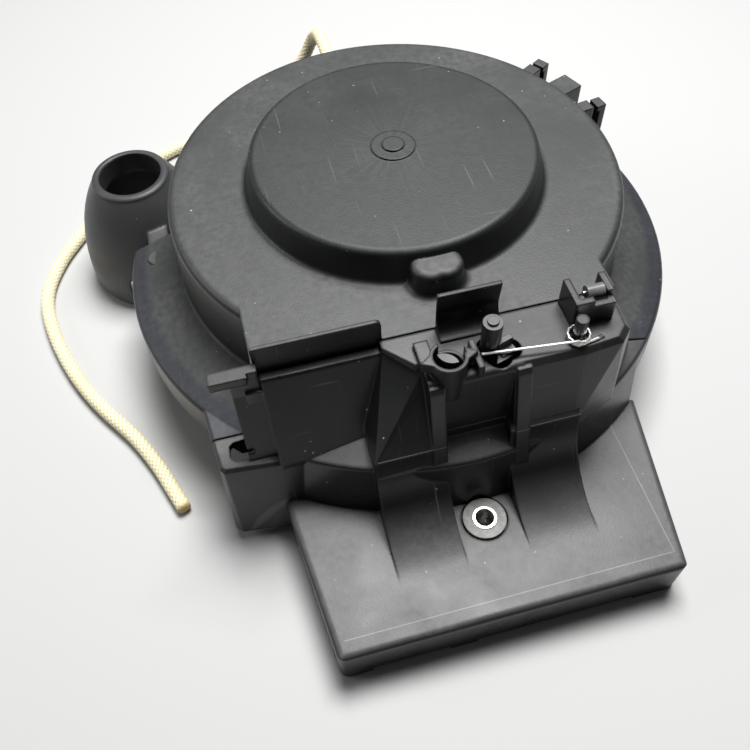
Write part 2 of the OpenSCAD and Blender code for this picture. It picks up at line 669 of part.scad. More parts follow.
module roller_pin() {
    color(steel) translate([box_x + box_w - 8.6, -roller_y, roller_z]) rotate([0, 90, 0]) cylinder(r = 0.8, h = 8.6);
}

module lever_frame(a) {
    translate([lever_x, -lever_y, 0]) rotate([0, 0, lever_dir + a]) children();
}

module lockout_lever() {
    color(plastic) lever_frame(0) difference() {
        union() {
            translate([0, 0, lever_z]) cylinder(r = 4.6, h = lever_t);
            translate([0, -2.6, lever_z]) cube([lever_len, 5.2, lever_t]);
            translate([lever_len, 0, lever_z]) cylinder(r = lever_post_r, h = post_top - lever_z);
            translate([lever_len, 0, post_top - eps]) cylinder(r = lever_post_r - 1.3, h = 0.8);
            // hook that keeps the spring's long arm
            translate([lever_len - 5.6, 1.4, case_h + 1.2]) cube([5, 1.8, 3.4]);
            translate([lever_len - 5.6, 1.4, case_h + 0.6]) cube([5, 4.2, 1]);
        }
        translate([0, 0, lever_z - 1]) cylinder(r = lever_pin_r + run_gap, h = lever_t + 2);
    }
}

module lever_pin() {
    color(steel) translate([lever_x, -lever_y, lever_z - 2]) {
        cylinder(r = lever_pin_r, h = case_h - 1.3 - lever_z + 2);
        cylinder(r = lever_pin_r + 1.4, h = 1.6);
    }
}

module return_spring() {
    turns = 4;
    top = arm_z - 0.2;
    coil = [for (i = [0:12 * turns]) let (a = 250 - 30 * i)
        [spring_x + coil_r * cos(a), -spring_y + coil_r * sin(a), case_h + 0.7 + i * (top - case_h - 0.7) / (12 * turns)]];
    leg = [[40, -87.4, case_h - 1.5], [40, -87.4, case_h + 0.2], [38.6, -88, case_h + 0.7]];
    arm = [for (t = [1, 7, 13, 19, 25, 30]) [spring_x - t, -spring_y - coil_r + 0.3 + t * 0.115, arm_z]];
    color(steel) tube(concat(leg, coil, arm), wire_d / 2, 8);
}

module rope_reel() {
    color([0.16, 0.16, 0.17]) difference() {
        union() {
            translate([0, 0, groove_top]) cylinder(r = reel_r, h = reel_flange);
            translate([0, 0, reel_bottom]) cylinder(r = reel_r, h = reel_flange);
            translate([0, 0, reel_bottom]) cylinder(r = groove_r, h = reel_top - reel_bottom);
            translate([0, 0, hub_bottom]) cylinder(r = hub_r, h = hub_top - hub_bottom);
        }
        translate([0, 0, hub_bottom - 1]) cylinder(r = bush_r, h = hub_top - hub_bottom + 2);
        // hollow between hub and rim, above the web
        translate([0, 0, reel_bottom + reel_web]) difference() {
            cylinder(r = groove_r - 3, h = 20);
            translate([0, 0, -1]) cylinder(r = hub_r, h = 30);
            for (a = [25, 205]) rotate([0, 0, a]) translate([pawl_pcr, 0, -1]) cylinder(r = 6, h = 8);
        }
        // place of the rope knot and the rope's way through the rim
        translate([knot_x, 0, reel_bottom - 1]) cylinder(r = 6, h = 5);
        translate([knot_x, 0, rope_z]) rotate([0, 90, 0]) cylinder(r = rope_d / 2 + 0.3, h = 12);
        for (a = [80, 130, 260, 310]) rotate([0, 0, a]) translate([29, 0, reel_bottom - 1]) cylinder(r = 7, h = 5);
        // blind bores of the pawl pins
        for (a = [25, 205]) rotate([0, 0, a]) translate([pawl_pcr, 0, reel_bottom - 1]) cylinder(r = pawl_pin_r, h = 7);
    }
}

module reel_bush() {
    color([0.75, 0.65, 0.4]) translate([0, 0, hub_bottom]) difference() {
        cylinder(r = bush_r, h = hub_top - hub_bottom);
        translate([0, 0, -1]) cylinder(r = post_r + run_gap, h = 60);
    }
}

module rope_winding() {
    color(rope_colour) translate([0, 0, groove_bottom + 0.2]) difference() {
        cylinder(r = winding_r, h = groove_w - 0.4);
        translate([0, 0, -1]) cylinder(r = groove_r + 0.05, h = groove_w + 2);
    }
}

module rope_knot() {
    color(rope_colour) translate([knot_x, 0, rope_z]) {
        sphere(r = knot_r, $fn = 48);
        rotate([0, 90, 0]) cylinder(r = rope_d / 2, h = groove_r - knot_x - 0.1);
    }
}

// Flat spiral strip with its inner end on the reel's hub
module recoil_spring() {
    turns = 6;
    strip = 0.8;
    r_in = hub_r + 0.15;
    r_out = chamber_r - wall - 2.5;
    n = 24 * turns;
    inner = [for (i = [0:n]) let (r = r_in + (r_out - r_in) * i / n) r * [cos(15 * i), sin(15 * i)]];
    outer = [for (i = [n:-1:0]) let (r = r_in + strip + (r_out - r_in) * i / n) r * [cos(15 * i), sin(15 * i)]];
    color([0.35, 0.37, 0.4]) translate([0, 0, top_under + 1]) linear_extrude(9) polygon(concat(inner, outer));
}

module spring_cover() {
    color([0.5, 0.5, 0.52]) translate([0, 0, cover_z]) difference() {
        cylinder(r = 61, h = cover_t);
        translate([0, 0, -1]) cylinder(r = hub_r + 2, h = 4);
        for (a = [30, 150, 270]) rotate([0, 0, a]) translate([57, 0, -1]) cylinder(r = 1.2, h = 4);
    }
}

module cover_screws() {
    color(steel) for (a = [30, 150, 270]) rotate([0, 0, a]) translate([57, 0, 0]) {
        translate([0, 0, cover_z - 0.35]) cylinder(r = 2.4, h = 0.35);
        translate([0, 0, cover_z - 0.35]) cylinder(r = 1.2, h = cover_t + 2.2);
    }
}

// Pawl that lies against the reel's hub; its tip swings outwards
module pawl() {
    translate([pawl_pcr, 0, pawl_z]) linear_extrude(pawl_t) difference() {
        union() {
            circle(r = 5);
            rotate(118) polygon([[-1, -4.3], [14, -4.3], [20.5, 0], [14, 1.7], [-1, 3.6]]);
        }
        circle(r = pawl_pin_r + run_gap);
    }
}

module pawl_left() {
    color(steel) rotate([0, 0, 205]) pawl();
}

module pawl_right() {
    color(steel) rotate([0, 0, 25]) pawl();
}

module pawl_pins() {
    color(steel) for (a = [25, 205]) rotate([0, 0, a]) translate([pawl_pcr, 0, 0]) {
        translate([0, 0, pawl_z - 1.2]) cylinder(r = pawl_pin_r, h = reel_bottom - pawl_z + 7.2);
        translate([0, 0, pawl_z - 1.3]) cylinder(r = 4.2, h = 1.2);
    }
}

module drive_plate() {
    color([0.4, 0.41, 0.43]) translate([0, 0, plate_z]) difference() {
        union() {
            cylinder(r = plate_r, h = plate_t);
            for (a = [0, 180]) rotate([0, 0, a + 70]) translate([0, -5, 0]) cube([plate_r + 4, 10, plate_t]);
        }
        translate([0, 0, -1]) cylinder(r = 4 + run_gap, h = 5);
    }
}

module friction_ring() {
    color(steel) translate([0, 0, plate_z - 1.2]) difference() {
        cylinder(r = 9, h = 1.2);
        translate([0, 0, -1]) cylinder(r = 4 + run_gap, h = 5);
    }
}

module centre_washer() {
    color(steel) translate([0, 0, plate_z - 3]) difference() {
        cylinder(r = 8, h = 1.6);
        translate([0, 0, -1]) cylinder(r = 2.5, h = 5);
    }
}

module centre_screw() {
    color(steel) {
        translate([0, 0, plate_z - 7]) cylinder(r = 5, h = 4);
        translate([0, 0, plate_z - 3.5]) cylinder(r = 2.5, h = 24);
        translate([0, 0, plate_z - 1.4]) cylinder(r = 4, h = post_bottom - plate_z + 1.4);
    }
}

// Rope from the winding's rim to the eyelet's mouth
module rope_lead() {
    r = winding_r + rope_d / 2 + 0.2;
    bend = arc([0, 0], r, 30, 48, 3);
    lead = concat([for (p = bend) [p[0], p[1], rope_z]], [[31, 56.5, rope_z], [18, 66.5, rope_z],
        [7, 70, rope_z], [-0.5, 72.3, rope_z], [-3.7, 74.5, rope_z], [-4.05, 77.5, rope_z], [-4.18, 80, rope_z],
        [-4.35, 83, rope_z]]);
    color(rope_colour) tube(lead, rope_d / 2, 10);
}

module rope_tail() {
    n = len(rope_path);
    smooth = [for (i = [0:n - 2], t = [0, 0.5]) catmull(rope_path[max(i - 1, 0)], rope_path[i], rope_path[i + 1],
        rope_path[min(i + 2, n - 1)], t)];
    color(rope_colour) tube(concat(smooth, [rope_path[n - 1]]), rope_d / 2, 10);
}

starter_case();
front_bracket();
bracket_screws();
mount_grommet();
mount_collar();
rear_collars();
rope_guide();
guide_screw();
rope_eyelet();
cable_clip();
guide_roller();
roller_pin();
lockout_lever();
lever_pin();
return_spring();
rope_reel();
reel_bush();
rope_winding();
rope_knot();
recoil_spring();
spring_cover();
cover_screws();
pawl_left();
pawl_right();
pawl_pins();
drive_plate();
friction_ring();
centre_washer();
centre_screw();
rope_lead();
rope_tail();
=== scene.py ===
import math

import bpy
import numpy as np
from mathutils import Matrix, Vector


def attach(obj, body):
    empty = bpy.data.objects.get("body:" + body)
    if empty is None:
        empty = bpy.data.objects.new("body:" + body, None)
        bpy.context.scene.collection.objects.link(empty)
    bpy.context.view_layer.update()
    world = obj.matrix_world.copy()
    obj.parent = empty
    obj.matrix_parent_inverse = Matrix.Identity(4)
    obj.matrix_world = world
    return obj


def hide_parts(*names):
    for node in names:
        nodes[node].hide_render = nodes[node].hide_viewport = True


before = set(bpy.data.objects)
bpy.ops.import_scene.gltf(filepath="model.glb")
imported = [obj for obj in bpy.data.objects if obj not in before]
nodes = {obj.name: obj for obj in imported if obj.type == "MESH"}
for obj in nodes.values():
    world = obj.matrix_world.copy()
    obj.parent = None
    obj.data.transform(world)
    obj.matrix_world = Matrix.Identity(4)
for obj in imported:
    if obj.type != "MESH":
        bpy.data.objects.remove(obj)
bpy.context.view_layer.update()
scene = bpy.context.scene

# ---------------------------------------------------------------- camera
# A hand-held view from in front and above, a little to the left, with the case filling a square picture.
# The camera stands about a forearm's length from the centre screw and is tipped slightly to one side.
eye = Vector((-0.05585, -0.21138, 0.26126))
turn, tip, lean = math.radians(12.1), math.radians(55.0), math.radians(-3.07)
ahead = Vector((math.sin(turn) * math.cos(tip), math.cos(turn) * math.cos(tip), -math.sin(tip)))
side = Vector((math.cos(turn), -math.sin(turn), 0))
rise = side.cross(ahead)
right = math.cos(lean) * side + math.sin(lean) * rise
up = -math.sin(lean) * side + math.cos(lean) * rise
camera_data = bpy.data.cameras.new("bench_camera")
camera = bpy.data.objects.new("bench_camera", camera_data)
scene.collection.objects.link(camera)
camera.matrix_world = Matrix.Translation(eye) @ Matrix((right, up, -ahead)).transposed().to_4x4()
camera_data.sensor_width = 36
camera_data.lens = 38.09
camera_data.clip_start = 0.01
picture_side = 1500
scene.camera = camera
scene.render.resolution_x = picture_side
scene.render.resolution_y = picture_side
scene.view_settings.view_transform = "Standard"

# ---------------------------------------------------------------- starter rope
# Hollow sixteen-strand braid of cream polyester, 5.5 mm thick, pulled out through the back of the drum.
# It drops to the bench behind the case, lies loose around the left side and ends in a melted tip.
rope_d = 0.0055
melted_tip = 0.0016
lying = 0.0028  # height of the rope's centre where it rests on the bench
# painted shade: the valley colour darkens the hollows between strands; the crest colour is the cream
cord_valley_shade, cord_crest = (0.33, 0.255, 0.085), (0.80, 0.735, 0.50)
rope_line = [
    (-0.00435, 0.08305, 0.06385), (-0.0045, 0.0885, 0.0643), (-0.0046, 0.098, 0.0646),
    (-0.0048, 0.107, 0.0632), (-0.0056, 0.1125, 0.0596), (-0.0076, 0.115, 0.0544),
    (-0.0117, 0.1156, 0.047), (-0.0175, 0.116, 0.0412), (-0.024, 0.1165, 0.0388),
    (-0.031, 0.117, 0.0368), (-0.0395, 0.1185, 0.0306), (-0.0478, 0.121, 0.021),
    (-0.0565, 0.125, 0.0106), (-0.065, 0.1285, 0.0042), (-0.075, 0.1285, lying),
    (-0.089, 0.122, lying), (-0.103, 0.111, lying), (-0.116, 0.097, lying),
    (-0.128, 0.079, lying), (-0.136, 0.067, lying), (-0.1415, 0.055, lying),
    (-0.144, 0.045, lying), (-0.144, 0.035, lying), (-0.1415, 0.021, lying),
    (-0.137, 0.006, lying), (-0.131, -0.0085, lying), (-0.1235, -0.022, lying),
    (-0.113, -0.038, lying), (-0.106, -0.052, lying), (-0.101, -0.065, lying),
    (-0.098, -0.073, lying),
]


def smooth_line(points, each=24, step=0.00028):
    """A smooth curve through the given points, as evenly spaced points and their distance from the start."""
    p = np.array([points[0], *points, points[-1]])
    t = np.linspace(0, 1, each, endpoint=False)[:, None]
    runs = []
    for a, b, c, d in zip(p[:-3], p[1:-2], p[2:-1], p[3:]):
        square, cube = 2 * a - 5 * b + 4 * c - d, 3 * b - a - 3 * c + d
        runs.append(0.5 * (2 * b + t * (c - a) + t**2 * square + t**3 * cube))
    fine = np.vstack([*runs, p[-1:]])
    along = np.concatenate([[0], np.cumsum(np.linalg.norm(np.diff(fine, axis=0), axis=1))])
    steps = np.linspace(0, along[-1], int(along[-1] / step) + 1)
    return np.stack([np.interp(steps, along, fine[:, k]) for k in range(3)], axis=1), steps


def braid_rope(name, line, along, radius, tip, strands=16, sides=40, lay=0.0093, relief=0.10):
    """A tube whose skin rises and falls as crossing strands of a round braid do, rounded off over its tip."""
    headings = np.gradient(line, axis=0)
    headings /= np.linalg.norm(headings, axis=1)[:, None]
    out = np.cross(headings[0], (0, 0, 1.0))
    outs, sideways = [], []
    for heading in headings:
        out = out - heading * out.dot(heading)
        out /= np.linalg.norm(out)
        outs.append(out)
        sideways.append(np.cross(heading, out))
    a, b = np.array(outs)[:, None, :], np.array(sideways)[:, None, :]
    angle = np.linspace(0, 2 * np.pi, sides, endpoint=False)[None, :]
    twist = angle * strands / (4 * np.pi)
    climb = along[:, None] / lay * 4
    one, two = twist + climb, twist - climb
    over = (np.floor(one) + np.floor(two)) % 2
    first, second = np.abs(np.sin(np.pi * one)), np.abs(np.sin(np.pi * two))
    upper, lower = np.where(over == 0, first, second), np.where(over == 0, second, first)
    lift = upper**0.6 * (0.55 + 0.45 * lower)
    left = along[-1] - along
    rounding = np.clip(np.sqrt(1 - np.clip(1 - left / tip, 0, 1) ** 2), 0.05, 1)
    size = radius * (1 - relief + relief * lift) * rounding[:, None]
    rings = line[:, None, :] + size[..., None] * (a * np.cos(angle)[..., None] + b * np.sin(angle)[..., None])
    count = len(line)
    verts = [tuple(v) for v in rings.reshape(-1, 3)] + [tuple(line[0]), tuple(line[-1])]
    faces = []
    for i in range(count - 1):
        for j in range(sides):
            k = (j + 1) % sides
            faces.append((i * sides + j, i * sides + k, (i + 1) * sides + k, (i + 1) * sides + j))
    start_pole, tip_pole, last_ring = count * sides, count * sides + 1, (count - 1) * sides
    faces += [(start_pole, (j + 1) % sides, j) for j in range(sides)]
    faces += [(tip_pole, last_ring + j, last_ring + (j + 1) % sides) for j in range(sides)]
    mesh = bpy.data.meshes.new(name)
    mesh.from_pydata(verts, [], faces)
    mesh.polygons.foreach_set("use_smooth", [True] * len(faces))
    height = mesh.attributes.new("strand", "FLOAT", "POINT")
    height.data.foreach_set("value", np.append(lift.reshape(-1), [0.5, 0.5]).astype(np.float32))
    melt = mesh.attributes.new("melted", "FLOAT", "POINT")
    near = np.repeat(np.clip(1 - left / (tip * 1.5), 0, 1), sides)
    melt.data.foreach_set("value", np.append(near, [0, 1]).astype(np.float32))
    mesh.validate()
    piece = bpy.data.objects.new(name, mesh)
    scene.collection.objects.link(piece)
    return piece


def new_material(name):
    """A fresh node material, its tree and its main shader."""
    material = bpy.data.materials.new(name)
    material.use_nodes = True
    tree = material.node_tree
    return material, tree, tree.nodes["Principled BSDF"]


def colour_blend(tree, mask, low, high, way="MIX"):
    """Mixes two colours or colour sockets by a mask and returns the mixed colour socket."""
    mix = tree.nodes.new("ShaderNodeMix")
    mix.data_type = "RGBA"
    mix.blend_type = way
    # a Mix node's colour sockets have numbers, since three kinds of socket share each name
    factor, first, second, result = mix.inputs[0], mix.inputs[6], mix.inputs[7], mix.outputs[2]
    tree.links.new(mask, factor)
    for socket, value in ((first, low), (second, high)):
        if isinstance(value, tuple):
            socket.default_value = (*value, 1)
        else:
            tree.links.new(value, socket)
    return result


def math_of(tree, kind, first, second=0.0):
    """One Math node of the given kind on two sockets or numbers."""
    node = tree.nodes.new("ShaderNodeMath")
    node.operation = kind
    for socket, value in ((node.inputs[0], first), (node.inputs[1], second)):
        if isinstance(value, (int, float)):
            socket.default_value = value
        else:
            tree.links.new(value, socket)
    return node.outputs[0]


def spread(tree, value, low, high, to=(0.0, 1.0)):
    """Maps a value from low..high onto 0..1 or the given pair, without overshoot."""
    node = tree.nodes.new("ShaderNodeMapRange")
    node.inputs["From Min"].default_value = low
    node.inputs["From Max"].default_value = high
    node.inputs["To Min"].default_value, node.inputs["To Max"].default_value = to
    tree.links.new(value, node.inputs["Value"])
    return node.outputs["Result"]


def noise(tree, vector, scale, detail):
    """A noise texture on the given coordinates; returns its value socket."""
    node = tree.nodes.new("ShaderNodeTexNoise")
    node.inputs["Scale"].default_value = scale
    node.inputs["Detail"].default_value = detail
    tree.links.new(vector, node.inputs["Vector"])
    return node.outputs["Fac"]


def raise_surface(tree, shader, height, strength, distance, edge=None, edge_samples=4, sunk=False):
    """Bumps a shader's surface by a height, over edges softened to a radius where one is given."""
    relief = tree.nodes.new("ShaderNodeBump")
    relief.inputs["Strength"].default_value = strength
    relief.inputs["Distance"].default_value = distance
    relief.invert = sunk
    tree.links.new(height, relief.inputs["Height"])
    if edge:
        soft = tree.nodes.new("ShaderNodeBevel")
        soft.samples = edge_samples
        soft.inputs["Radius"].default_value = edge
        tree.links.new(soft.outputs["Normal"], relief.inputs["Normal"])
    tree.links.new(relief.outputs["Normal"], shader.inputs["Normal"])


braid, braid_tree, braid_shader = new_material("cream_braid")
place = braid_tree.nodes.new("ShaderNodeTexCoord")
strand = braid_tree.nodes.new("ShaderNodeAttribute")
strand.attribute_name = "strand"
melted = braid_tree.nodes.new("ShaderNodeAttribute")
melted.attribute_name = "melted"
hairs = noise(braid_tree, place.outputs["Object"], 5200, 3)
grime = noise(braid_tree, place.outputs["Object"], 90, 3)
# painted shade: the low parts of the braid, by the strand height, take the darker valley colour
valley = spread(braid_tree, strand.outputs["Fac"], 0.15, 0.62)
yarn = colour_blend(braid_tree, valley, cord_valley_shade, cord_crest)
worn = colour_blend(braid_tree, spread(braid_tree, grime, 0.45, 0.8), yarn, (0.66, 0.58, 0.36))
sealed = colour_blend(braid_tree, melted.outputs["Fac"], worn, (0.44, 0.30, 0.09))
braid_tree.links.new(sealed, braid_shader.inputs["Base Color"])
braid_shader.inputs["Roughness"].default_value = 0.62
braid_shader.inputs["Sheen Weight"].default_value = 0.25
braid_shader.inputs["Sheen Roughness"].default_value = 0.4
raise_surface(braid_tree, braid_shader, hairs, strength=0.35, distance=0.0002)

rope_run, rope_along = smooth_line(rope_line)
rope = braid_rope("pull_rope", rope_run, rope_along, rope_d / 2, melted_tip)
rope.data.materials.append(braid)
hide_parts("rope_tail")
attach(rope, "case")

# ---------------------------------------------------------------- starter case
# Black glass-filled nylon, moulded in one shot: drum, spring chamber, flange and rear lugs in one piece.
# The tops carry a fine matte grain with cloudy grey patches; the drafted walls came off polished steel.
chamber_top_band = (0.0836, 0.0842)  # heights where the drum gives way to the chamber top, which takes painted shade
# painted shade with a blue cast on the flange, below these heights
flange_band = (0.0425, 0.0415)
# the first grey is real dust; the second paints highlight lines along edges
dust_grey, edge_highlight_grey = (0.42, 0.42, 0.41), (0.16, 0.16, 0.16)


def group_of(name, inputs, outputs):
    """An empty shader node group with named sockets, its input node and its output node."""
    group = bpy.data.node_groups.new(name, "ShaderNodeTree")
    for label, kind, value in inputs:
        socket = group.interface.new_socket(label, in_out="INPUT", socket_type=kind)
        if value is not None:
            socket.default_value = value
    for label, kind in outputs:
        group.interface.new_socket(label, in_out="OUTPUT", socket_type=kind)
    return group, group.nodes.new("NodeGroupInput"), group.nodes.new("NodeGroupOutput")


def build_mould_skin():
    """Grain, clouds, fine mottle, an up-facing mask, dust specks and hairline scratches of a moulding."""
    group, given, wanted = group_of(
        "mould_skin",
        [("Grain Scale", "NodeSocketFloat", 1500.0), ("Cloud Scale", "NodeSocketFloat", 26.0),
         ("Dust Amount", "NodeSocketFloat", 0.5)],
        [("Height", "NodeSocketFloat"), ("Cloud", "NodeSocketFloat"), ("Up", "NodeSocketFloat"),
         ("Dust", "NodeSocketFloat"), ("Scratch", "NodeSocketFloat"), ("Mottle", "NodeSocketFloat")],
    )
    place = group.nodes.new("ShaderNodeTexCoord")
    here = place.outputs["Object"]
    grain = group.nodes.new("ShaderNodeTexNoise")
    grain.inputs["Detail"].default_value = 3
    grain.inputs["Roughness"].default_value = 0.62
    group.links.new(here, grain.inputs["Vector"])
    group.links.new(given.outputs["Grain Scale"], grain.inputs["Scale"])
    group.links.new(grain.outputs["Fac"], wanted.inputs["Height"])
    cloud = group.nodes.new("ShaderNodeTexNoise")
    cloud.inputs["Detail"].default_value = 5
    cloud.inputs["Roughness"].default_value = 0.55
    cloud.inputs["Distortion"].default_value = 0.4
    group.links.new(here, cloud.inputs["Vector"])
    group.links.new(given.outputs["Cloud Scale"], cloud.inputs["Scale"])
    group.links.new(spread(group, cloud.outputs["Fac"], 0.36, 0.66), wanted.inputs["Cloud"])
    mottle = noise(group, here, 420, 3)
    group.links.new(spread(group, mottle, 0.35, 0.68), wanted.inputs["Mottle"])
    facing = group.nodes.new("ShaderNodeNewGeometry")
    split = group.nodes.new("ShaderNodeSeparateXYZ")
    group.links.new(facing.outputs["Normal"], split.inputs["Vector"])
    group.links.new(spread(group, split.outputs["Z"], 0.62, 0.93), wanted.inputs["Up"])
    specks = group.nodes.new("ShaderNodeTexVoronoi")
    specks.inputs["Scale"].default_value = 420
    group.links.new(here, specks.inputs["Vector"])
    near = spread(group, specks.outputs["Distance"], 0.16, 0.10)
    pick = group.nodes.new("ShaderNodeSeparateColor")
    group.links.new(specks.outputs["Color"], pick.inputs["Color"])
    few = spread(group, pick.outputs["Red"], 0.90, 0.94)
    patches = spread(group, noise(group, here, 60, 3), 0.45, 0.62)
    both = math_of(group, "MULTIPLY", math_of(group, "MULTIPLY", near, few), patches)
    group.links.new(math_of(group, "MULTIPLY", both, given.outputs["Dust Amount"]), wanted.inputs["Dust"])
    lines = []
    for number, (tilt, stretch) in enumerate(((0.5, (1500, 42, 42)), (-0.9, (36, 1300, 36)))):
        comb = group.nodes.new("ShaderNodeMapping")
        comb.inputs["Rotation"].default_value = (0, 0, tilt)
        comb.inputs["Scale"].default_value = stretch
        comb.inputs["Location"].default_value = (number * 3.7, number * 1.3, 0)
        group.links.new(here, comb.inputs["Vector"])
        lines.append(spread(group, noise(group, comb.outputs["Vector"], 1.0, 0), 0.80, 0.88))
    group.links.new(math_of(group, "MAXIMUM", lines[0], lines[1]), wanted.inputs["Scratch"])
    return group


def build_edge_highlight_line():
    """A painted highlight line, where an edge catches the light, at one value of a coordinate."""
    group, given, wanted = group_of(
        "edge_highlight_line",
        [("Coordinate", "NodeSocketFloat", 0.0), ("Place", "NodeSocketFloat", 0.0),
         ("Half Width", "NodeSocketFloat", 0.0002)],
        [("Line", "NodeSocketFloat")],
    )
    offset = math_of(group, "SUBTRACT", given.outputs["Coordinate"], given.outputs["Place"])
    away = math_of(group, "ABSOLUTE", offset)
    share = math_of(group, "DIVIDE", away, given.outputs["Half Width"])
    group.links.new(spread(group, share, 1.0, 0.4), wanted.inputs["Line"])
    return group


mould_skin = build_mould_skin()
edge_highlight_line = build_edge_highlight_line()


def build_gate_flow():
    """Faint rays and a haze round the point where the melt entered, in the middle of the chamber's top."""
    inputs, outputs = [("Reach", "NodeSocketFloat", 0.03)], [("Haze", "NodeSocketFloat")]
    group, given, wanted = group_of("gate_flow", inputs, outputs)
    place = group.nodes.new("ShaderNodeTexCoord")
    split = group.nodes.new("ShaderNodeSeparateXYZ")
    group.links.new(place.outputs["Object"], split.inputs["Vector"])
    x, y = split.outputs["X"], split.outputs["Y"]
    squares = math_of(group, "ADD", math_of(group, "MULTIPLY", x, x), math_of(group, "MULTIPLY", y, y))
    out = math_of(group, "SQRT", squares)
    turn = math_of(group, "ARCTAN2", y, x)
    ray = group.nodes.new("ShaderNodeCombineXYZ")
    group.links.new(math_of(group, "MULTIPLY", turn, 5.5), ray.inputs["X"])
    group.links.new(math_of(group, "MULTIPLY", out, 22.0), ray.inputs["Y"])
    rays = spread(group, noise(group, ray.outputs["Vector"], 2.2, 3), 0.42, 0.70)
    fade = spread(group, math_of(group, "DIVIDE", out, given.outputs["Reach"]), 1.0, 0.22)
    high = spread(group, split.outputs["Z"], *chamber_top_band)
    fading_rays = math_of(group, "MULTIPLY", rays, fade)
    group.links.new(math_of(group, "MULTIPLY", fading_rays, high), wanted.inputs["Haze"])
    return group


gate_flow = build_gate_flow()


def moulded(name, wall, top, cloud_colour, wall_rough, top_rough, grain, cloud, dust, bump, edge,
            lines=(), shade_bands=()):
    """Moulded plastic: polished walls, grained tops, softened edges, dust, and painted shade on the walls.

    the height bands paint shade on the tops, multiplying them by a tint: low, high and tint.
    lines are painted highlight lines: the axis and value they stand at, the axis they run along and its two
    ends.
    """
    material, tree, shader = new_material(name)
    skin = tree.nodes.new("ShaderNodeGroup")
    skin.node_tree = mould_skin
    skin.inputs["Grain Scale"].default_value = grain
    skin.inputs["Cloud Scale"].default_value = cloud
    skin.inputs["Dust Amount"].default_value = dust
    patched = colour_blend(tree, skin.outputs["Cloud"], top, cloud_colour)
    speckled = colour_blend(tree, skin.outputs["Mottle"], patched, top)
    place = tree.nodes.new("ShaderNodeTexCoord")
    split = tree.nodes.new("ShaderNodeSeparateXYZ")
    tree.links.new(place.outputs["Object"], split.inputs["Vector"])
    # painted shade: each height band multiplies the tops' colour by its tint
    for low, high, tint in shade_bands:
        band = spread(tree, split.outputs["Z"], low, high)
        speckled = colour_blend(tree, band, speckled, tint, way="MULTIPLY")
    flow = tree.nodes.new("ShaderNodeGroup")
    flow.node_tree = gate_flow
    haze = math_of(tree, "MULTIPLY", flow.outputs["Haze"], 0.3)
    speckled = colour_blend(tree, haze, speckled, cloud_colour)
    # painted shade: walls take a darker colour than up-facing tops, beside the real polish and grain
    body = colour_blend(tree, skin.outputs["Up"], wall, speckled)
    scratch_colour = tuple(c * 1.35 + 0.004 for c in top)
    colour = colour_blend(tree, skin.outputs["Scratch"], body, scratch_colour)
    colour = colour_blend(tree, skin.outputs["Dust"], colour, dust_grey)
    # painted highlights: each line mixes in a bright grey where an edge catches the light
    for axis, where, run, start, end in lines:
        line = tree.nodes.new("ShaderNodeGroup")
        line.node_tree = edge_highlight_line
        tree.links.new(split.outputs[axis], line.inputs["Coordinate"])
        line.inputs["Place"].default_value = where
        past_start = math_of(tree, "GREATER_THAN", split.outputs[run], start)
        before_end = math_of(tree, "LESS_THAN", split.outputs[run], end)
        inside = math_of(tree, "MULTIPLY", past_start, before_end)
        mask = math_of(tree, "MULTIPLY", line.outputs["Line"], inside)
        colour = colour_blend(tree, mask, colour, edge_highlight_grey)
    tree.links.new(colour, shader.inputs["Base Color"])
    shader.inputs["Specular IOR Level"].default_value = 0.42
    matt = spread(tree, skin.outputs["Up"], 0, 1, to=(wall_rough, top_rough))
    uneven = spread(tree, skin.outputs["Cloud"], 0, 1, to=(-0.05, 0.06))
    tree.links.new(math_of(tree, "ADD", matt, uneven), shader.inputs["Roughness"])
    grain_depth = spread(tree, skin.outputs["Up"], 0, 1, to=(0.08, 1.0))
    height = math_of(tree, "MULTIPLY", skin.outputs["Height"], grain_depth)
    raise_surface(tree, shader, height, bump, distance=0.00012, edge=edge, edge_samples=6)
    return material


def finish_node(name, material):
    """Gives a solid part its material."""
    slots = nodes[name].material_slots
    if not slots:
        nodes[name].data.materials.append(material)
    for slot in slots:
        slot.material = material


# its wall colour, darker than its top colour, is painted shade
case_skin = moulded(
    "case_nylon", wall=(0.010, 0.0105, 0.012), top=(0.031, 0.032, 0.032), cloud_colour=(0.059, 0.060, 0.059),
    wall_rough=0.34, top_rough=0.52, grain=1350.0, cloud=24.0, dust=0.75, bump=0.55, edge=0.0011,
    shade_bands=((*chamber_top_band, (0.36, 0.40, 0.40)), (*flange_band, (0.62, 0.64, 0.80))),
)
finish_node("starter_case", case_skin)

# ---------------------------------------------------------------- front bracket
# A second nylon moulding, screwed to the case at the seam: shelf, ramps, tower and foot box in one piece.
# Its tool was blasted more evenly, so the shelf takes a soft grey sheen; painted highlights cross its front.
tower_top_band = (0.060, 0.066)  # heights where the shelf gives way to the tower top, which takes painted shade
bracket_skin = moulded(
    "bracket_nylon", wall=(0.007, 0.0073, 0.008), top=(0.050, 0.050, 0.050),
    cloud_colour=(0.078, 0.078, 0.077), wall_rough=0.31, top_rough=0.47,
    grain=1700.0, cloud=38.0, dust=0.7, bump=0.4, edge=0.0011,
    shade_bands=((*tower_top_band, (0.42, 0.42, 0.43)),),
    # three painted highlight lines across the bracket's front
    lines=(
        ("Z", 0.0475, "X", -0.032, 0.050), ("Y", -0.1378, "X", -0.054, 0.054),
        ("X", 0.0545, "Y", -0.138, -0.088),
    ),
)
finish_node("front_bracket", bracket_skin)

